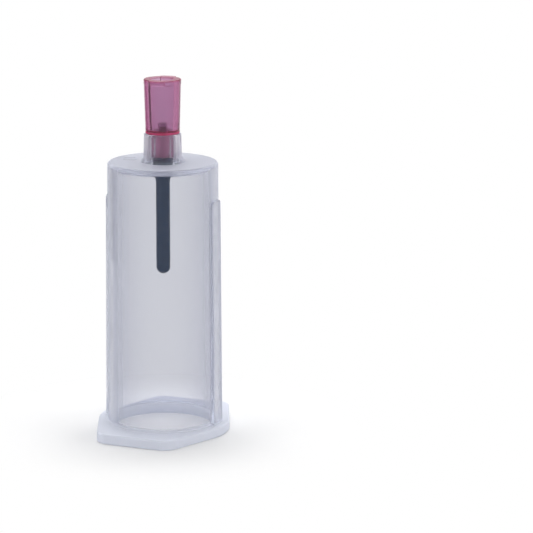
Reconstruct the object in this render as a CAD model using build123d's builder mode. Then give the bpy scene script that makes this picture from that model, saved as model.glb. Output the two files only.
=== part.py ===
from build123d import *
import math
import os

# A blood transfer device: a clear tube holder with a hexagonal finger flange, a coloured female luer
# hub in its neck, and a needle in a rubber sleeve that hangs inside. The origin is the centre of the
# flange's underside, +Z runs up the barrel to the luer, and +X is the long way of the flange.
# All sizes are in millimetres.

# Moulding
draft_angle = 0.4

# Finger flange
flange_half_length = 14.25
flange_side_distance = 11.85
flange_side_tilt = 22.5
flange_thickness = 1.75
flange_end_corner_radius = 2.9
flange_side_corner_radius = 9.6
flange_edge_chamfer = 0.18
flange_junction_chamfer = 0.15

# Barrel, which takes the tube
barrel_height = 49.0
barrel_radius_top = 9.85
barrel_wall = 0.94
barrel_shoulder_radius = 0.6
barrel_mouth_chamfer = 0.2
plate_thickness = 0.95
plate_inner_chamfer = 0.25

# Grip rails on the barrel, one at each side
rail_half_angle = 10.25
rail_height = 0.58
rail_top_gap = 6.4
rail_draft_angle = 0.46
rail_corner_radius = 1.0

# Neck and the ribs that centre the hub's stem
neck_height = 5.05
neck_radius = 3.31
neck_draft_angle = 1.2
neck_bore_radius = 2.35
neck_flare_width = 0.62
neck_flare_height = 1.7
neck_edge_chamfer = 0.15
rib_count = 8
rib_width = 0.4
rib_clearance = 0.03
rib_top_gap = 0.5

# Raised ring that the mould leaves on the top plate
mark_distance = 6.4
mark_radius = 1.35
mark_width = 0.14
mark_height = 0.06

# Female luer hub
hub_height = 9.73
hub_radius_bottom = 3.04
hub_radius_top = 3.27
hub_edge_chamfer = 0.15
rim_radius = 3.32
rim_height = 0.85
rim_slope_height = 0.15
rim_edge_chamfer = 0.11
lug_width = 2.85
lug_radius = 3.92
lug_height = 0.85
lug_turn = 6.25
lug_edge_chamfer = 0.14
socket_radius = 2.15
socket_depth = 7.88
socket_taper = 0.06
socket_mouth_chamfer = 0.15
moat_radius = 1.84
moat_depth = 1.15
post_radius = 0.85
post_edge_chamfer = 0.08
stem_radius = 1.85
stem_length = 4.15
nub_radius = 1.18
nub_length = 3.5
nub_taper_length = 1.5
nub_tip_radius = 0.75

# Needle and its adhesive
cannula_radius = 0.45
cannula_bore_radius = 0.3
cannula_top_gap = 0.1
cannula_fit = 0.03
bevel_angle = 20.0
well_radius = 0.65
well_depth = 2.0
adhesive_fit = 0.02
adhesive_rise = 0.12
adhesive_top_gap = 0.55

# Rubber sleeve over the needle
sleeve_bore_radius = 0.6
sleeve_wall = 0.635
sleeve_fit = 0.05
sleeve_length = 21.24
sleeve_neck_length = 2.7
tip_cover = 1.84

# Levels worked out from the sizes above
barrel_slope = math.tan(math.radians(draft_angle))
rail_slope = math.tan(math.radians(rail_draft_angle))
ceiling_z = barrel_height - plate_thickness
rail_top_z = barrel_height - rail_top_gap
neck_top_z = barrel_height + neck_height
hub_top_z = neck_top_z + hub_height
socket_floor_z = hub_top_z - socket_depth
well_floor_z = socket_floor_z - well_depth
shoulder_z = neck_top_z - stem_length
nub_end_z = shoulder_z - nub_length
nub_taper_z = nub_end_z + nub_taper_length
sleeve_tip_z = shoulder_z - sleeve_length
cannula_tip_z = sleeve_tip_z + tip_cover
cannula_top_z = socket_floor_z + cannula_top_gap
adhesive_top_z = socket_floor_z - adhesive_top_gap


def outer_radius(z):
    """Outside radius of the barrel at height z."""
    return barrel_radius_top + (barrel_height - z) * barrel_slope


def inner_radius(z):
    """Inside radius of the barrel at height z."""
    return outer_radius(z) - barrel_wall


def rail_radius(z):
    """Outer face of a grip rail at height z."""
    return outer_radius(rail_top_z) + rail_height + (rail_top_z - z) * rail_slope


def meridian(angle):
    """Upright plane through the axis, whose first direction points at the angle about +Z."""
    return Plane.XZ.rotated((0, 0, angle))


def circle_edges(part, z, radius):
    """Circular edges of the part with this radius at height z."""
    circles = part.edges().filter_by(GeomType.CIRCLE)
    return circles.filter_by(lambda edge: math.hypot(edge.center().Z - z, edge.radius - radius) < 0.001)


os.makedirs("parts", exist_ok=True)


# One grip rail, swept about the axis over its own width, with its upper corners rounded
with BuildPart() as rail:
    with BuildSketch(meridian(90 - rail_half_angle)):
        with BuildLine():
            Polyline(
                (outer_radius(0) - barrel_wall / 2, flange_thickness / 2),
                (rail_radius(flange_thickness / 2), flange_thickness / 2),
                (rail_radius(rail_top_z), rail_top_z),
                (outer_radius(rail_top_z) - barrel_wall / 2, rail_top_z),
                close=True,
            )
        make_face()
    revolve(axis=Axis.Z, revolution_arc=2 * rail_half_angle)
    top_corners = rail.faces().sort_by(Axis.Z)[-1].edges().filter_by(GeomType.LINE)
    fillet(top_corners, rail_corner_radius)

# Finger flange: a flat hexagon with rounded corners and edges, open where the barrel stands on it
with BuildPart() as flange:
    with BuildSketch() as flange_outline:
        with BuildLine():
            side_run = math.radians(90 - flange_side_tilt)
            corner_y = (flange_side_distance - flange_half_length * math.cos(side_run)) / math.sin(side_run)
            point_y = flange_side_distance / math.sin(side_run)
            Polyline(
                (flange_half_length, -corner_y),
                (flange_half_length, corner_y),
                (0, point_y),
                (-flange_half_length, corner_y),
                (-flange_half_length, -corner_y),
                (0, -point_y),
                close=True,
            )
        make_face()
        end_corners = flange_outline.vertices().filter_by(lambda corner: abs(corner.X) > flange_half_length / 2)
        fillet(end_corners, flange_end_corner_radius)
        side_corners = flange_outline.vertices().filter_by(lambda corner: abs(corner.X) < 0.001)
        fillet(side_corners, flange_side_corner_radius)
    extrude(amount=flange_thickness)
    chamfer(flange.faces().sort_by(Axis.Z)[-1].edges(), flange_edge_chamfer)
    chamfer(flange.faces().sort_by(Axis.Z)[0].edges(), flange_edge_chamfer)
    Hole(outer_radius(0) - barrel_wall / 2)

# Tube holder: flange, barrel, top plate and neck in one clear moulding
with BuildPart() as holder:
    with BuildSketch(Plane.XZ):
        with BuildLine():
            neck_slope = math.tan(math.radians(neck_draft_angle))
            neck_foot_radius = neck_radius + (neck_height - neck_flare_height) * neck_slope
            flare_start = (neck_foot_radius, barrel_height + neck_flare_height)
            flare_end = (neck_foot_radius + neck_flare_width, barrel_height)
            Polyline(
                flare_start,
                (neck_radius, neck_top_z),
                (neck_bore_radius, neck_top_z),
                (neck_bore_radius, ceiling_z),
                (inner_radius(ceiling_z), ceiling_z),
                (inner_radius(0), 0),
                (outer_radius(0), 0),
                (outer_radius(barrel_height), barrel_height),
                flare_end,
            )
            TangentArc(flare_start, flare_end, tangent=(neck_slope, -1))
        make_face()
    revolve(axis=Axis.Z)
    fillet(circle_edges(holder, barrel_height, outer_radius(barrel_height)), barrel_shoulder_radius)
    chamfer(circle_edges(holder, ceiling_z, inner_radius(ceiling_z)), plate_inner_chamfer)
    chamfer(circle_edges(holder, 0, inner_radius(0)), barrel_mouth_chamfer)
    chamfer(circle_edges(holder, neck_top_z, neck_radius), neck_edge_chamfer)
    add(flange.part)
    foot = circle_edges(holder, flange_thickness, outer_radius(flange_thickness))
    chamfer(foot, flange_junction_chamfer)
    add(rail.part)
    mirror(rail.part, about=Plane.XZ)
    rib_inner = stem_radius + rib_clearance
    rib_outer = (neck_bore_radius + neck_radius) / 2
    with BuildSketch(Plane.XY.offset(shoulder_z)):
        with PolarLocations((rib_inner + rib_outer) / 2, rib_count, start_angle=180 / rib_count):
            Rectangle(rib_outer - rib_inner, rib_width)
    extrude(amount=neck_top_z - rib_top_gap - shoulder_z)
    with BuildSketch(Plane.XY.offset(barrel_height)):
        with Locations((0, mark_distance)):
            Circle(mark_radius)
            Circle(mark_radius - mark_width, mode=Mode.SUBTRACT)
    extrude(amount=mark_height)

holder.part.label = "holder"
export_step(holder.part, "parts/holder.step")

# Female luer hub: socket with two lugs above, stem and nub below
with BuildPart() as luer_hub:
    with BuildSketch(Plane.XZ):
        with BuildLine():
            hole_radius = cannula_radius + cannula_fit
            floor_radius = socket_radius - socket_depth * socket_taper / 2
            Polyline(
                (hole_radius, nub_end_z),
                (nub_tip_radius, nub_end_z),
                (nub_radius, nub_taper_z),
                (nub_radius, shoulder_z),
                (stem_radius, shoulder_z),
                (stem_radius, neck_top_z),
                (hub_radius_bottom, neck_top_z),
                (hub_radius_top, hub_top_z - rim_height - rim_slope_height),
                (rim_radius, hub_top_z - rim_height),
                (rim_radius, hub_top_z),
                (socket_radius, hub_top_z),
                (floor_radius, socket_floor_z),
                (moat_radius, socket_floor_z),
                (moat_radius, socket_floor_z - moat_depth),
                (post_radius, socket_floor_z - moat_depth),
                (post_radius, socket_floor_z),
                (well_radius, socket_floor_z),
                (well_radius, well_floor_z),
                (hole_radius, well_floor_z),
                close=True,
            )
        make_face()
    revolve(axis=Axis.Z)
    chamfer(circle_edges(luer_hub, neck_top_z, hub_radius_bottom), hub_edge_chamfer)
    chamfer(circle_edges(luer_hub, hub_top_z, rim_radius), rim_edge_chamfer)
    chamfer(circle_edges(luer_hub, hub_top_z, socket_radius), socket_mouth_chamfer)
    chamfer(circle_edges(luer_hub, socket_floor_z, post_radius), post_edge_chamfer)
    with BuildSketch(Plane.XY.offset(hub_top_z - lug_height)):
        Rectangle(2 * lug_radius, lug_width, rotation=lug_turn)
        Circle(lug_radius, mode=Mode.INTERSECT)
        Circle((socket_radius + hub_radius_top) / 2, mode=Mode.SUBTRACT)
    extrude(amount=lug_height)
    lug_ends = luer_hub.faces().filter_by(
        lambda face: math.hypot(face.center().X, face.center().Y) > (lug_radius + rim_radius) / 2
        and abs(face.normal_at().Z) < 0.5)
    chamfer(lug_ends.edges(), lug_edge_chamfer)

luer_hub.part.label = "luer_hub"
export_step(luer_hub.part, "parts/luer_hub.step")

# Steel needle, open through its length and bevelled at its lower end
with BuildPart() as cannula:
    with BuildSketch(Plane.XY.offset(cannula_tip_z)):
        Circle(cannula_radius)
        Circle(cannula_bore_radius, mode=Mode.SUBTRACT)
    extrude(amount=cannula_top_z - cannula_tip_z)
    bevel = Plane(
        origin=(-cannula_radius, 0, cannula_tip_z),
        z_dir=(-math.cos(math.radians(bevel_angle)), 0, math.sin(math.radians(bevel_angle))),
    )
    split(bisect_by=bevel, keep=Keep.TOP)

cannula.part.label = "cannula"
export_step(cannula.part, "parts/cannula.step")

# Ring of adhesive that holds the needle in the hub's well, drawn up a little against the needle
with BuildPart() as needle_adhesive:
    with BuildSketch(Plane.XZ):
        with BuildLine():
            ring_inner = cannula_radius + adhesive_fit
            ring_outer = well_radius - adhesive_fit
            Polyline(
                (ring_inner, well_floor_z),
                (ring_outer, well_floor_z),
                (ring_outer, adhesive_top_z - adhesive_rise),
                (ring_inner, adhesive_top_z),
                close=True,
            )
        make_face()
    revolve(axis=Axis.Z)

needle_adhesive.part.label = "needle_adhesive"
export_step(needle_adhesive.part, "parts/needle_adhesive.step")

# Rubber sleeve: a head stretched over the hub's nub, a neck that draws in, and a closed round tip
with BuildPart() as rubber_sleeve:
    with BuildSketch(Plane.XZ):
        with BuildLine():
            head_inner = nub_radius + sleeve_fit
            head_outer = head_inner + sleeve_wall
            tube_outer = sleeve_bore_radius + sleeve_wall
            neck_end_z = nub_taper_z - sleeve_neck_length
            tip_centre_z = sleeve_tip_z + tube_outer
            Line((head_inner, shoulder_z), (head_outer, shoulder_z))
            Line((head_outer, shoulder_z), (head_outer, nub_taper_z))
            Spline((head_outer, nub_taper_z), (tube_outer, neck_end_z), tangents=[(0, -1), (0, -1)])
            Line((tube_outer, neck_end_z), (tube_outer, tip_centre_z))
            CenterArc((0, tip_centre_z), tube_outer, 0, -90)
            Polyline(
                (0, sleeve_tip_z),
                (0, tip_centre_z - sleeve_bore_radius),
                (sleeve_bore_radius, tip_centre_z),
                (sleeve_bore_radius, neck_end_z),
                (head_inner, nub_taper_z),
                (head_inner, shoulder_z),
            )
        make_face()
    revolve(axis=Axis.Z)

rubber_sleeve.part.label = "rubber_sleeve"
export_step(rubber_sleeve.part, "parts/rubber_sleeve.step")
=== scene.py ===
"""Looks of the blood transfer device: its finishes, the rubber sleeve, a pale studio and the camera."""

import logging
import math
from dataclasses import dataclass, field
from enum import Enum
from typing import Any, Protocol

import bpy
from mathutils import Matrix, Vector, noise


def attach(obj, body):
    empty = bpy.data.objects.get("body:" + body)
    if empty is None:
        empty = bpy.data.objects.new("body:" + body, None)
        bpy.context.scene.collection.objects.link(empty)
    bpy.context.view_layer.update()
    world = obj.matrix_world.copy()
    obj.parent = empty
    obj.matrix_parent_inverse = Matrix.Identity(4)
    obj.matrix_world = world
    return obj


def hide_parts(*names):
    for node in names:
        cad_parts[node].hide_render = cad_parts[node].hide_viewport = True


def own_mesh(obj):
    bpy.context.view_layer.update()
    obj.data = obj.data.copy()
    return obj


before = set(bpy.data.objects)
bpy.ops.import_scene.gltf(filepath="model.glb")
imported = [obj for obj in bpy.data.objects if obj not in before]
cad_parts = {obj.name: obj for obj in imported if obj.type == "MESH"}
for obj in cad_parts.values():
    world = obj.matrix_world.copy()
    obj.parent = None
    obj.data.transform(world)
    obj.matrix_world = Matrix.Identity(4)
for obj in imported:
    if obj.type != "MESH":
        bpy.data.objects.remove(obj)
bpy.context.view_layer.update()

log = logging.getLogger("blood_transfer_device")

Colour = tuple[float, float, float]
Span = tuple[float, float]

MM = 0.001
WHITE: Colour = (1.0, 1.0, 1.0)

# From above, the photograph's left-to-right direction is the part's X axis turned clockwise by this.
PHOTO_TURN = math.radians(68.9)


def from_photo(right: float, away: float, up: float) -> Vector:
    """A place in the part's frame, given as the photograph sees it from the flange's centre.

    Args:
        right: metres to the right.
        away: metres away from the camera.
        up: metres above the flange's underside.

    Returns:
        The place.
    """
    return Matrix.Rotation(-PHOTO_TURN, 3, "Z") @ Vector((right, away, up))


def linked(name: str, data: bpy.types.ID) -> bpy.types.Object:
    """Makes an object and links it to the scene.

    Args:
        name: the object's name.
        data: its mesh, light or camera.

    Returns:
        The object.
    """
    made = bpy.data.objects.new(name, data)
    bpy.context.scene.collection.objects.link(made)
    return made


class Direction(Enum):
    """The way in which the marks of a mould, a dip or a grinding wheel run, as shares of a scale."""

    ROUND = (1.0, 1.0, 1.0)
    ALONG = (1.0, 1.0, 0.06)
    ACROSS = (0.15, 0.15, 1.0)


class Socket:
    """An output socket of a node tree, on which Python arithmetic adds Math nodes."""

    def __init__(self, graph: "Graph", socket: bpy.types.NodeSocket) -> None:
        """Keeps the graph that new nodes go into, and the output socket."""
        self.graph = graph
        self.socket = socket

    def other(self, name: str) -> "Socket":
        """Another output of the same node."""
        return Socket(self.graph, self.socket.node.outputs[name])

    def _math(self, operation: str, first: Any, second: Any) -> "Socket":
        """The output of one Math node, whose two values are numbers or sockets."""
        return self.graph.node("ShaderNodeMath", {"operation": operation}, {0: first, 1: second})

    def __add__(self, other: Any) -> "Socket":
        """self + other."""
        return self._math("ADD", self, other)

    def __radd__(self, other: Any) -> "Socket":
        """other + self."""
        return self._math("ADD", other, self)

    def __sub__(self, other: Any) -> "Socket":
        """self - other."""
        return self._math("SUBTRACT", self, other)

    def __rsub__(self, other: Any) -> "Socket":
        """other - self."""
        return self._math("SUBTRACT", other, self)

    def __mul__(self, other: Any) -> "Socket":
        """self * other."""
        return self._math("MULTIPLY", self, other)

    def __rmul__(self, other: Any) -> "Socket":
        """other * self."""
        return self._math("MULTIPLY", other, self)

    def __pow__(self, other: Any) -> "Socket":
        """self ** other."""
        return self._math("POWER", self, other)

    def __rpow__(self, other: Any) -> "Socket":
        """other ** self."""
        return self._math("POWER", other, self)

    def __lt__(self, other: Any) -> "Socket":
        """1 where self is less than other, and 0 elsewhere."""
        return self._math("LESS_THAN", self, other)

    def __gt__(self, other: Any) -> "Socket":
        """1 where self is greater than other, and 0 elsewhere."""
        return self._math("GREATER_THAN", self, other)

    def __or__(self, other: Any) -> "Socket":
        """The larger of the two."""
        return self._math("MAXIMUM", self, other)

    def __ror__(self, other: Any) -> "Socket":
        """The larger of the two, where the first is a number."""
        return self._math("MAXIMUM", other, self)


class Graph:
    """The node tree of a material or a world."""

    def __init__(self, owner: bpy.types.ID) -> None:
        """Empties the node tree of its owner, a material or a world."""
        owner.use_nodes = True
        self.owner = owner
        self.tree = owner.node_tree
        self.tree.nodes.clear()

    @classmethod
    def of_material(cls, name: str) -> "Graph":
        """The empty graph of a new material."""
        return cls(bpy.data.materials.new(name))

    def node(
        self,
        kind: str,
        settings: dict[str, Any] | None = None,
        inputs: dict[str | int, Any] | None = None,
        output: str | int = 0,
    ) -> Socket | None:
        """Adds one node.

        Args:
            kind: the node's type.
            settings: its settings, set before its inputs.
            inputs: the values or the links of its sockets.
            output: the output to return.

        Returns:
            That output, wrapped, or nothing where the node has no outputs.
        """
        node = self.tree.nodes.new(kind)
        for name, value in (settings or {}).items():
            setattr(node, name, value)
        for name, value in (inputs or {}).items():
            self.feed(node.inputs[name], value)
        return Socket(self, node.outputs[output]) if len(node.outputs) else None

    def feed(self, target: bpy.types.NodeSocket, value: Any) -> None:
        """Links a socket to the target, or sets the target's own value.

        Args:
            target: the input socket.
            value: a wrapped socket, a number or a colour.
        """
        if isinstance(value, Socket):
            self.tree.links.new(value.socket, target)
        elif isinstance(value, tuple) and target.type == "RGBA":
            target.default_value = (*value, 1.0)
        else:
            target.default_value = value

    def place(self, scale: float = 1.0, direction: Direction = Direction.ROUND) -> Socket:
        """The place on the part, for a texture or a measure.

        Args:
            scale: how many times larger the texture's space is than a metre.
            direction: the way in which the marks run.

        Returns:
            The scaled coordinates.
        """
        where = self.node("ShaderNodeTexCoord", output="Object")
        stretch = tuple(scale * share for share in direction.value)
        return self.node("ShaderNodeVectorMath", {"operation": "MULTIPLY"}, {0: where, 1: stretch})

    def spread(self, value: Socket, source: Span, target: Span = (0.0, 1.0)) -> Socket:
        """Maps a value from one range to another, smoothly and held at both ends.

        Args:
            value: the value.
            source: the range that it comes from.
            target: the range that it goes to.

        Returns:
            The mapped value.
        """
        return self.node(
            "ShaderNodeMapRange",
            {"interpolation_type": "SMOOTHSTEP"},
            {"Value": value, 1: source[0], 2: source[1], 3: target[0], 4: target[1]},
        )

    def mix(self, share: Socket, first: Colour, second: Colour) -> Socket:
        """Mixes two colours.

        Args:
            share: the share of the second colour.
            first: the first colour.
            second: the second colour.

        Returns:
            The mixed colour.
        """
        return self.node(
            "ShaderNodeMix",
            {"data_type": "RGBA", "clamp_factor": True},
            {0: share, 6: first, 7: second},
            output=2,
        )

    def blend(self, share: Socket | float, first: Socket, second: Socket) -> Socket:
        """Mixes two shaders.

        Args:
            share: the share of the second shader.
            first: the first shader.
            second: the second shader.

        Returns:
            The mixed shader.
        """
        return self.node("ShaderNodeMixShader", inputs={0: share, 1: first, 2: second})

    def glow(self, colour: Colour, strength: float = 1.0) -> Socket:
        """A shader that shows a plain colour under any light."""
        return self.node("ShaderNodeEmission", inputs={"Color": colour, "Strength": strength})

    def bump(self, height: Socket, depth: float) -> Socket:
        """A normal from a height.

        Args:
            height: the height, from 0 to 1.
            depth: the depth in millimetres that a height of 1 stands for.

        Returns:
            The normal.
        """
        inputs = {"Strength": 1.0, "Distance": depth * MM, "Height": height}
        return self.node("ShaderNodeBump", inputs=inputs)

    def finished(self, surface: Socket, volume: Socket | None = None) -> bpy.types.Material:
        """Gives the material its surface and its inside.

        Args:
            surface: the surface's shader.
            volume: the shader of the inside, where it has one.

        Returns:
            The material.
        """
        inputs = {"Surface": surface}
        if volume is not None:
            inputs["Volume"] = volume
        self.node("ShaderNodeOutputMaterial", inputs=inputs)
        return self.owner


@dataclass(frozen=True)
class Marks:
    """Soft noise that stands for the marks on a surface.

    The size of its spots is in millimetres, and finer layers lie over them. With a reach, the marks come up
    between those two levels of the noise.
    """

    size: float
    detail: float = 2.0
    direction: Direction = Direction.ROUND
    rough: float = 0.5
    reach: Span | None = None

    def draw(self, graph: Graph) -> Socket:
        """Adds the marks to a graph.

        Args:
            graph: the material's graph.

        Returns:
            How strong the marks are, from 0 to 1.
        """
        place = graph.place(1.0 / (self.size * MM), self.direction)
        plain = graph.node(
            "ShaderNodeTexNoise",
            {"noise_dimensions": "3D"},
            {"Vector": place, "Scale": 1.0, "Detail": self.detail, "Roughness": self.rough},
        )
        return graph.spread(plain, self.reach) if self.reach else plain


class Finish(Protocol):
    """What a piece can be dressed in."""

    def material(self) -> bpy.types.Material:
        """The finish as a material."""


@dataclass(frozen=True)
class MilkyZone:
    """A stretch of a moulding that looks milky because it is thick or ribbed, or whose milk carries painted
    shade or painted light.

    Its levels are in millimetres, and so is the blend, the distance over which each end fades.
    """

    low: float
    high: float
    blend: float
    share: float
    colour: Colour

    def mask(self, graph: Graph) -> Socket:
        """The milky share of the surface: the zone's own between its levels, and none elsewhere.

        Args:
            graph: the material's graph.

        Returns:
            The share.
        """
        height = graph.node("ShaderNodeSeparateXYZ", inputs={0: graph.place()}, output="Z")
        bottom = ((self.low - self.blend) * MM, (self.low + self.blend) * MM)
        top = ((self.high - self.blend) * MM, (self.high + self.blend) * MM)
        return graph.spread(height, bottom, (0.0, self.share)) * graph.spread(height, top, (1.0, 0.0))


FLANGE = MilkyZone(-1.0, 2.1, 0.3, 0.68, (0.87, 0.89, 0.945))
# Painted shade: a darker grey milk on the top plate, which darkens the plate against the light from above.
TOP_PLATE_PAINTED_SHADE = MilkyZone(48.9, 49.35, 0.06, 0.26, (0.48, 0.49, 0.54))
NECK = MilkyZone(49.6, 60.0, 0.3, 0.06, (1.0, 0.70, 0.84))
HUB_STEM = MilkyZone(49.8, 53.9, 0.1, 0.45, (1.0, 0.46, 0.71))
# Partly the deep pink of the thick socket floor, partly painted light: a bright pink band for light
# reflected inside the hub.
HUB_FLOOR_PAINTED_LIGHT = MilkyZone(53.9, 54.55, 0.1, 0.55, (1.0, 0.13, 0.30))
HUB_RIM = MilkyZone(63.5, 65.0, 0.1, 0.40, (0.60, 0.14, 0.22))


@dataclass(frozen=True)
class ClearMoulding:
    """A clear injection moulding, coloured through its depth, with faint flow lines and handling scuffs.

    The tint holds for any wall, and the depth colour and density darken thick places and edges. The haze is
    the milky share of a surface, from its least face on to its most edge on, and the zones are milky as
    well. The index is lower than the solid plastic's, because haze inside the real walls softens what
    their edges bend. Roughness goes from glossy to scuffed, and the flow depth is in millimetres.
    """

    name: str
    tint: Colour
    depth_colour: Colour
    depth_density: float
    haze_colour: Colour = (0.70, 0.72, 0.81)
    haze_share: Span = (0.03, 0.93)
    haze_power: float = 1.5
    facing_blend: float = 0.5
    milk_through: float = 0.4
    zones: tuple[MilkyZone, ...] = ()
    index: float = 1.22
    shine_tint: Colour = (0.45, 0.60, 0.85)
    roughness: Span = (0.02, 0.09)
    flow: Marks = Marks(2.6, 1.5, Direction.ALONG)
    ripple: Marks = Marks(7.02, 1.0)
    flow_share: float = 0.6
    flow_depth: float = 0.002
    scuffs: Marks = Marks(0.55, 6.0, Direction.ACROSS, 0.7, (0.56, 0.74))
    patches: Marks = Marks(6.0, reach=(0.45, 0.65))

    def material(self) -> bpy.types.Material:
        """Makes the finish.

        Returns:
            The material.
        """
        graph = Graph.of_material(self.name)
        uneven = self.flow.draw(graph) * self.flow_share + self.ripple.draw(graph) * (1.0 - self.flow_share)
        worn = self.scuffs.draw(graph) * self.patches.draw(graph)
        glossy, scuffed = self.roughness
        surface = graph.node(
            "ShaderNodeBsdfPrincipled",
            inputs={
                "Base Color": self.tint,
                "Roughness": worn * (scuffed - glossy) + glossy,
                "IOR": self.index,
                "Transmission Weight": 1.0,
                "Specular Tint": self.shine_tint,
                "Normal": graph.bump(uneven, self.flow_depth),
            },
        )
        surface = graph.blend(self.haze(graph), surface, self.milk(graph, self.haze_colour))
        for zone in self.zones:
            surface = graph.blend(zone.mask(graph), surface, self.milk(graph, zone.colour))
        inside = graph.node(
            "ShaderNodeVolumeAbsorption",
            inputs={"Color": self.depth_colour, "Density": self.depth_density},
        )
        return graph.finished(surface, inside)

    def haze(self, graph: Graph) -> Socket:
        """The share of the surface that looks milky, most where it is seen edge on.

        Args:
            graph: the material's graph.

        Returns:
            The share.
        """
        facing = graph.node("ShaderNodeLayerWeight", inputs={"Blend": self.facing_blend}, output="Facing")
        least, most = self.haze_share
        return facing**self.haze_power * (most - least) + least

    def milk(self, graph: Graph, colour: Colour) -> Socket:
        """The milky share: light scattered back and light scattered through.

        Args:
            graph: the material's graph.
            colour: the milk's colour.

        Returns:
            The shader.
        """
        back = graph.node("ShaderNodeBsdfDiffuse", inputs={"Color": colour})
        through = graph.node("ShaderNodeBsdfTranslucent", inputs={"Color": colour})
        return graph.blend(self.milk_through, back, through)


@dataclass(frozen=True)
class SleeveRubber:
    """Dark synthetic rubber with a fine dull skin, faint dusty patches and dipping rings.

    Roughness goes from clean to dusty, and the grain depth is in millimetres.
    """

    name: str = "sleeve_rubber_finish"
    clean: Colour = (0.003, 0.020, 0.055)
    dusty: Colour = (0.009, 0.034, 0.078)
    roughness: Span = (0.42, 0.62)
    shine: float = 0.25
    dust: Marks = Marks(1.4, 5.0, rough=0.65, reach=(0.42, 0.72))
    dust_share: float = 0.6
    grain: Marks = Marks(0.12, 4.0, rough=0.6)
    grain_share: float = 0.25
    grain_depth: float = 0.02
    rings: Marks = Marks(0.7, direction=Direction.ACROSS)
    ring_share: float = 0.5

    def material(self) -> bpy.types.Material:
        """Makes the finish.

        Returns:
            The material.
        """
        graph = Graph.of_material(self.name)
        dust = self.dust.draw(graph)
        grain = self.grain.draw(graph)
        pale = dust * self.dust_share + grain * self.grain_share
        uneven = self.rings.draw(graph) * self.ring_share + grain * (1.0 - self.ring_share)
        low, high = self.roughness
        shader = graph.node(
            "ShaderNodeBsdfPrincipled",
            inputs={
                "Base Color": graph.mix(pale, self.clean, self.dusty),
                "Roughness": dust * (high - low) + low,
                "Specular IOR Level": self.shine,
                "Normal": graph.bump(uneven, self.grain_depth),
            },
        )
        return graph.finished(shader)


@dataclass(frozen=True)
class NeedleSteel:
    """Drawn stainless steel tube with fine lines along its length, whose depth is in millimetres."""

    name: str = "needle_steel_finish"
    light: Colour = (0.86, 0.86, 0.87)
    dark: Colour = (0.70, 0.70, 0.72)
    roughness: Span = (0.16, 0.34)
    lines: Marks = Marks(0.07, 3.0, Direction.ALONG)
    line_depth: float = 0.004
    stains: Marks = Marks(1.1)

    def material(self) -> bpy.types.Material:
        """Makes the finish.

        Returns:
            The material.
        """
        graph = Graph.of_material(self.name)
        lines = self.lines.draw(graph)
        low, high = self.roughness
        shader = graph.node(
            "ShaderNodeBsdfPrincipled",
            inputs={
                "Base Color": graph.mix(self.stains.draw(graph), self.light, self.dark),
                "Metallic": 1.0,
                "Roughness": lines * (high - low) + low,
                "Normal": graph.bump(lines, self.line_depth),
            },
        )
        return graph.finished(shader)


@dataclass(frozen=True)
class CuredAdhesive:
    """Cured adhesive with trapped grains and small bubbles, whose depth is in millimetres."""

    name: str = "adhesive_finish"
    dark: Colour = (0.10, 0.07, 0.06)
    light: Colour = (0.52, 0.46, 0.40)
    roughness: Span = (0.30, 0.55)
    index: float = 1.5
    grain: Marks = Marks(0.16, 3.0, rough=0.7)
    grain_depth: float = 0.05
    spot_reach: Span = (0.38, 0.64)

    def material(self) -> bpy.types.Material:
        """Makes the finish, glossiest on its light spots.

        Returns:
            The material.
        """
        graph = Graph.of_material(self.name)
        grain = self.grain.draw(graph)
        spots = graph.spread(grain, self.spot_reach)
        low, high = self.roughness
        shader = graph.node(
            "ShaderNodeBsdfPrincipled",
            inputs={
                "Base Color": graph.mix(spots, self.dark, self.light),
                "Roughness": high - spots * (high - low),
                "IOR": self.index,
                "Normal": graph.bump(grain, self.grain_depth),
            },
        )
        return graph.finished(shader)


@dataclass(frozen=True)
class CadPiece:
    """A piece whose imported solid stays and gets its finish."""

    node: str
    finish: Finish

    def build(self) -> bpy.types.Object:
        """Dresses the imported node.

        Returns:
            The node's object.
        """
        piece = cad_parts[self.node]
        material = self.finish.material()
        for place in piece.material_slots:
            place.material = material
        return piece


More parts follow.
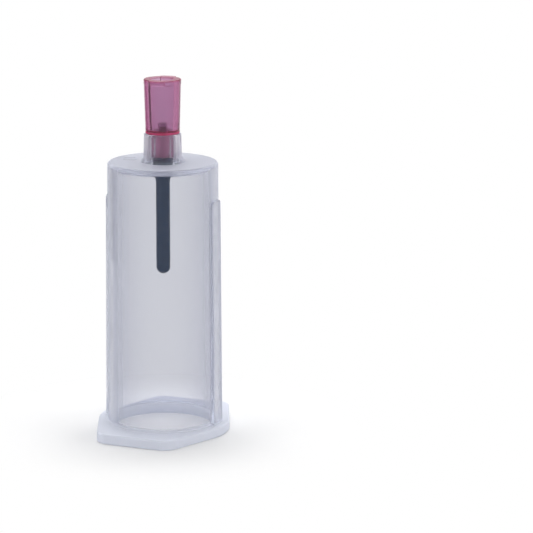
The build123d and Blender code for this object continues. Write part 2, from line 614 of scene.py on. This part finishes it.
@dataclass
class RubberSleeve:
    """The rubber sleeve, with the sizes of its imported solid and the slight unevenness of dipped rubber.

    Levels and radii are in millimetres, levels from the flange's underside. The unevenness is the depth of
    the waves, and uneven_round and uneven_along say how quickly they follow each other.
    """

    tip_level: float = 28.66
    neck_end_level: float = 45.2
    neck_start_level: float = 47.9
    head_level: float = 49.9
    head_radius: float = 1.865
    tube_radius: float = 1.235
    head_bore: float = 1.23
    tube_bore: float = 0.6
    bore_end_share: float = 0.7
    lip_round: float = 0.12
    travel: float = 13.0
    sides: int = 96
    tip_steps: int = 14
    lip_steps: int = 3
    ring_gap: float = 0.3
    last_ring_gap: float = 0.35
    unevenness: float = 0.018
    uneven_round: float = 1.3
    uneven_along: float = 0.45
    sharp_angle: float = 40.0
    finish: SleeveRubber = field(default_factory=SleeveRubber)

    def outer_radius(self, level: float) -> float:
        """The radius of the outside of the straight tube, the neck or the head.

        Args:
            level: a level above the rounded tip.

        Returns:
            The radius there.
        """
        if level <= self.neck_end_level:
            return self.tube_radius
        share = min((level - self.neck_end_level) / (self.neck_start_level - self.neck_end_level), 1.0)
        return self.tube_radius + (self.head_radius - self.tube_radius) * (3 - 2 * share) * share**2

    def outline(self) -> list[Span]:
        """The half outline from the tip up the outside, over the head and down the bore.

        Returns:
            Radii and levels.
        """
        centre = self.tip_level + self.tube_radius
        points = []
        for step in range(1, self.tip_steps + 1):
            angle = math.pi / 2 * step / self.tip_steps
            points.append((self.tube_radius * math.sin(angle), centre - self.tube_radius * math.cos(angle)))
        lip = self.lip_round
        level = centre
        while level + self.last_ring_gap < self.head_level - lip:
            level += self.ring_gap
            points.append((self.outer_radius(level), level))
        for step in range(self.lip_steps + 1):
            angle = math.pi / 2 * step / self.lip_steps
            points.append((
                self.head_radius - lip + lip * math.cos(angle),
                self.head_level - lip + lip * math.sin(angle),
            ))
        points.append((self.head_bore, self.head_level))
        points.append((self.head_bore, self.neck_start_level))
        points.append((self.tube_bore, self.neck_end_level))
        points.append((self.tube_bore, centre))
        bore_end = self.tube_bore * self.bore_end_share
        points.append((bore_end, centre - bore_end))
        return points

    def mesh(self) -> bpy.types.Mesh:
        """Turns the outline into a closed mesh.

        Returns:
            The mesh.
        """
        outline = self.outline()
        vertices = [(0.0, 0.0, self.tip_level * MM)]
        faces = []
        for radius, level in outline:
            for side in range(self.sides):
                angle = 2 * math.pi * side / self.sides
                round_x = math.cos(angle) * self.uneven_round
                round_y = math.sin(angle) * self.uneven_round
                wave = noise.noise(Vector((round_x, round_y, level * self.uneven_along)))
                uneven = self.unevenness * wave if radius > self.head_bore else 0.0
                reach = (radius + uneven) * MM
                vertices.append((reach * math.cos(angle), reach * math.sin(angle), level * MM))
        vertices.append((0.0, 0.0, (self.tip_level + self.tube_radius - self.tube_bore) * MM))
        last = 1 + (len(outline) - 1) * self.sides
        for side in range(self.sides):
            beside = (side + 1) % self.sides
            faces.append((0, 1 + beside, 1 + side))
            faces.append((len(vertices) - 1, last + side, last + beside))
            for ring in range(len(outline) - 1):
                low = 1 + ring * self.sides
                high = low + self.sides
                faces.append((low + side, low + beside, high + beside, high + side))
        mesh = bpy.data.meshes.new("sleeve")
        mesh.from_pydata(vertices, [], faces)
        mesh.validate()
        mesh.shade_smooth()
        mesh.set_sharp_from_angle(angle=math.radians(self.sharp_angle))
        return mesh

    def build(self) -> bpy.types.Object:
        """Makes the sleeve, dresses it and hangs it on its body.

        Returns:
            The sleeve.
        """
        sleeve = linked("sleeve", self.mesh())
        sleeve.data.materials.append(self.finish.material())
        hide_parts("rubber_sleeve")
        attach(sleeve, "sleeve")
        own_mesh(sleeve)
        return sleeve


@dataclass(frozen=True)
class StudioLamp:
    """A soft rectangular lamp that looks at the device, from a place as from_photo takes it.

    Only a lamp that shines through the plastic can be seen through it.
    """

    name: str
    place: tuple[float, float, float]
    size: Span
    power: float
    target: tuple[float, float, float] = (0.0, 0.0, 0.03)
    shines_through: bool = False

    def build(self) -> bpy.types.Object:
        """Makes the lamp, which neither the camera nor a reflection shows.

        Returns:
            The lamp.
        """
        light = bpy.data.lights.new(self.name, "AREA")
        light.shape = "RECTANGLE"
        light.size, light.size_y = self.size
        light.energy = self.power
        lamp = linked(self.name, light)
        lamp.location = from_photo(*self.place)
        lamp.rotation_euler = (Vector(self.target) - lamp.location).to_track_quat("-Z", "Y").to_euler()
        lamp.visible_camera = False
        lamp.visible_glossy = False
        lamp.visible_transmission = self.shines_through
        return lamp


@dataclass
class Studio:
    """A white table in a white room, with soft lamps and a dark card beside the device.

    The table takes light and shadow near the device and glows slightly, more for a look through the plastic,
    where the glow is painted light that brightens the shade the plastic casts on the table.
    From the start of plain_reach to its end it turns plain white for all that shows it. The card's angles
    are degrees round the device, from the camera to the left, and a look through more surfaces than
    card_walls doesn't show it.
    """

    floor_half: float = 1.2
    floor_drop: float = 0.03 * MM
    floor_colour: Colour = (0.78, 0.78, 0.78)
    floor_glow: float = 0.01
    painted_light_through: float = 0.25
    plain_reach: Span = (0.016, 0.037)
    room_light: Colour = (0.31, 0.31, 0.315)
    bounces: int = 32
    card_angles: Span = (112.0, 138.0)
    card_distance: float = 0.15
    card_height: float = 0.25
    card_steps: int = 8
    card_tone: Colour = (0.08, 0.08, 0.09)
    card_walls: float = 3.5
    lamps: tuple[StudioLamp, ...] = (
        StudioLamp("lamp_above", (0.0, 0.26, 0.8), (0.8, 0.8), 8.2, shines_through=True),
        StudioLamp("lamp_front", (0.0, -0.85, 0.30), (0.8, 0.5), 1.5),
        StudioLamp("lamp_left", (-0.85, -0.15, 0.22), (0.6, 0.4), 1.25),
        StudioLamp("lamp_right", (0.85, -0.15, 0.22), (0.6, 0.4), 2.1),
    )

    def shown(self, graph: Graph) -> Socket:
        """1 for what the camera, a reflection or a look through the plastic sees, 0 for lighting."""
        path = graph.node("ShaderNodeLightPath", output="Is Camera Ray")
        return path | path.other("Is Glossy Ray") | path.other("Is Transmission Ray")

    def room(self) -> None:
        """Sets the world: plain light on the device, and white where it shows."""
        world = bpy.data.worlds.new("white_room")
        graph = Graph(world)
        light = graph.node("ShaderNodeBackground", inputs={"Color": self.room_light, "Strength": 1.0})
        white = graph.node("ShaderNodeBackground", inputs={"Color": WHITE, "Strength": 1.0})
        surface = graph.blend(self.shown(graph), light, white)
        graph.node("ShaderNodeOutputWorld", inputs={"Surface": surface})
        bpy.context.scene.world = world

    def paper(self) -> bpy.types.Material:
        """The table's finish.

        Returns:
            The material.
        """
        graph = Graph.of_material("white_table")
        matt = graph.node("ShaderNodeBsdfDiffuse", inputs={"Color": self.floor_colour})
        plain = graph.glow(WHITE)
        shown = self.shown(graph)
        through = graph.node("ShaderNodeLightPath", output="Is Transmission Ray")
        # Painted light: the table glows more where it is seen through the plastic, which brightens the shade
        # under the device.
        strength = shown * self.floor_glow + through * (self.painted_light_through - self.floor_glow)
        glow = graph.node("ShaderNodeMixShader", inputs={0: strength, 2: plain})
        near = graph.node("ShaderNodeAddShader", inputs={0: matt, 1: glow})
        away = graph.node("ShaderNodeVectorMath", {"operation": "LENGTH"}, {0: graph.place()}, "Value")
        return graph.finished(graph.blend(graph.spread(away, self.plain_reach) * shown, near, plain))

    def table(self) -> bpy.types.Object:
        """Makes the table top.

        Returns:
            The table top.
        """
        half = self.floor_half
        corners = ((-half, -half), (half, -half), (half, half), (-half, half))
        mesh = bpy.data.meshes.new("table_top")
        mesh.from_pydata([(*corner, -self.floor_drop) for corner in corners], [], [(0, 1, 2, 3)])
        mesh.materials.append(self.paper())
        table = linked("table_top", mesh)
        return table

    def felt(self) -> bpy.types.Material:
        """The card's finish.

        Returns:
            The material.
        """
        graph = Graph.of_material("dark_felt")
        walls = graph.node("ShaderNodeLightPath", output="Transmission Depth")
        clear = graph.node("ShaderNodeBsdfTransparent")
        return graph.finished(graph.blend(walls < self.card_walls, clear, graph.glow(self.card_tone)))

    def dark_card(self) -> bpy.types.Object:
        """Makes a curved dark card, which only reflections and looks through the plastic show.

        Returns:
            The card.
        """
        low, high = self.card_angles
        vertices = []
        for step in range(self.card_steps + 1):
            angle = math.radians(low + (high - low) * step / self.card_steps)
            right = -self.card_distance * math.sin(angle)
            away = -self.card_distance * math.cos(angle)
            vertices.append(from_photo(right, away, 0.0))
            vertices.append(from_photo(right, away, self.card_height))
        faces = [(first, first + 2, first + 3, first + 1) for first in range(0, 2 * self.card_steps, 2)]
        mesh = bpy.data.meshes.new("dark_card")
        mesh.from_pydata(vertices, [], faces)
        mesh.materials.append(self.felt())
        card = linked("dark_card", mesh)
        card.visible_camera = False
        card.visible_diffuse = False
        card.visible_shadow = False
        return card

    def build(self) -> None:
        """Makes the room, the table top, the card and the lamps, and sets the view transform."""
        self.room()
        self.table()
        self.dark_card()
        for lamp in self.lamps:
            lamp.build()
        scene = bpy.context.scene
        scene.view_settings.view_transform = "Standard"
        scene.cycles.max_bounces = self.bounces
        scene.cycles.transmission_bounces = self.bounces
        scene.cycles.glossy_bounces = self.bounces


@dataclass(frozen=True)
class PhotoCamera:
    """The camera, where the photograph was taken from.

    It stands to the side of the flange's centre, at a distance and a height, all in metres. Down and roll
    are degrees, and the focal length and the sensor are in the camera's own millimetres.
    """

    side: float = 18.49 * MM
    distance: float = 449.5 * MM
    height: float = 130.5 * MM
    down: float = 12.615
    roll: float = 0.21
    focal: float = 173.58
    sensor: float = 36.0
    nearest: float = 0.01

    def build(self) -> bpy.types.Object:
        """Makes the camera and makes it the scene's.

        Returns:
            The camera.
        """
        data = bpy.data.cameras.new("photo_camera")
        data.lens = self.focal
        data.sensor_width = self.sensor
        data.dof.use_dof = False
        data.clip_start = self.nearest
        camera = linked("photo_camera", data)
        heading = Matrix.Rotation(-PHOTO_TURN, 3, "Z")
        pitch = Matrix.Rotation(math.radians(90.0 - self.down), 3, "X")
        roll = Matrix.Rotation(math.radians(self.roll), 3, "Z")
        camera.location = from_photo(self.side, -self.distance, self.height)
        camera.rotation_euler = (heading @ pitch @ roll).to_euler()
        bpy.context.scene.camera = camera
        return camera


@dataclass
class BloodTransferDevice:
    """The whole device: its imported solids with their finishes, and the sleeve that replaces its solid."""

    holder_finish: ClearMoulding = ClearMoulding(
        name="clear_plastic_finish",
        tint=(0.79, 0.795, 0.828),
        depth_colour=(0.20, 0.25, 0.45),
        depth_density=6.0,
        zones=(FLANGE, TOP_PLATE_PAINTED_SHADE, NECK),
    )
    hub_finish: ClearMoulding = ClearMoulding(
        name="tinted_plastic_finish",
        tint=(0.845, 0.92, 0.96),
        depth_colour=(0.71, 0.10, 0.46),
        depth_density=560.0,
        haze_colour=(0.55, 0.26, 0.40),
        haze_share=(0.14, 0.14),
        zones=(HUB_STEM, HUB_FLOOR_PAINTED_LIGHT, HUB_RIM),
        index=1.50,
        shine_tint=(0.5, 0.5, 0.5),
    )

    def pieces(self) -> list[CadPiece | RubberSleeve]:
        """The pieces in the order in which they are made."""
        return [
            CadPiece("holder", self.holder_finish),
            CadPiece("luer_hub", self.hub_finish),
            CadPiece("cannula", NeedleSteel()),
            CadPiece("needle_adhesive", CuredAdhesive()),
            RubberSleeve(),
        ]

    def build(self) -> None:
        """Makes and dresses every piece."""
        for piece in self.pieces():
            made = piece.build()
            log.info("%s: %d faces", made.name, len(made.data.polygons))


def main() -> None:
    """Builds the camera, the device and the studio."""
    logging.basicConfig(level=logging.INFO, format="%(name)s: %(message)s")
    PhotoCamera().build()
    BloodTransferDevice().build()
    Studio().build()


if __name__ == "__main__":
    main()
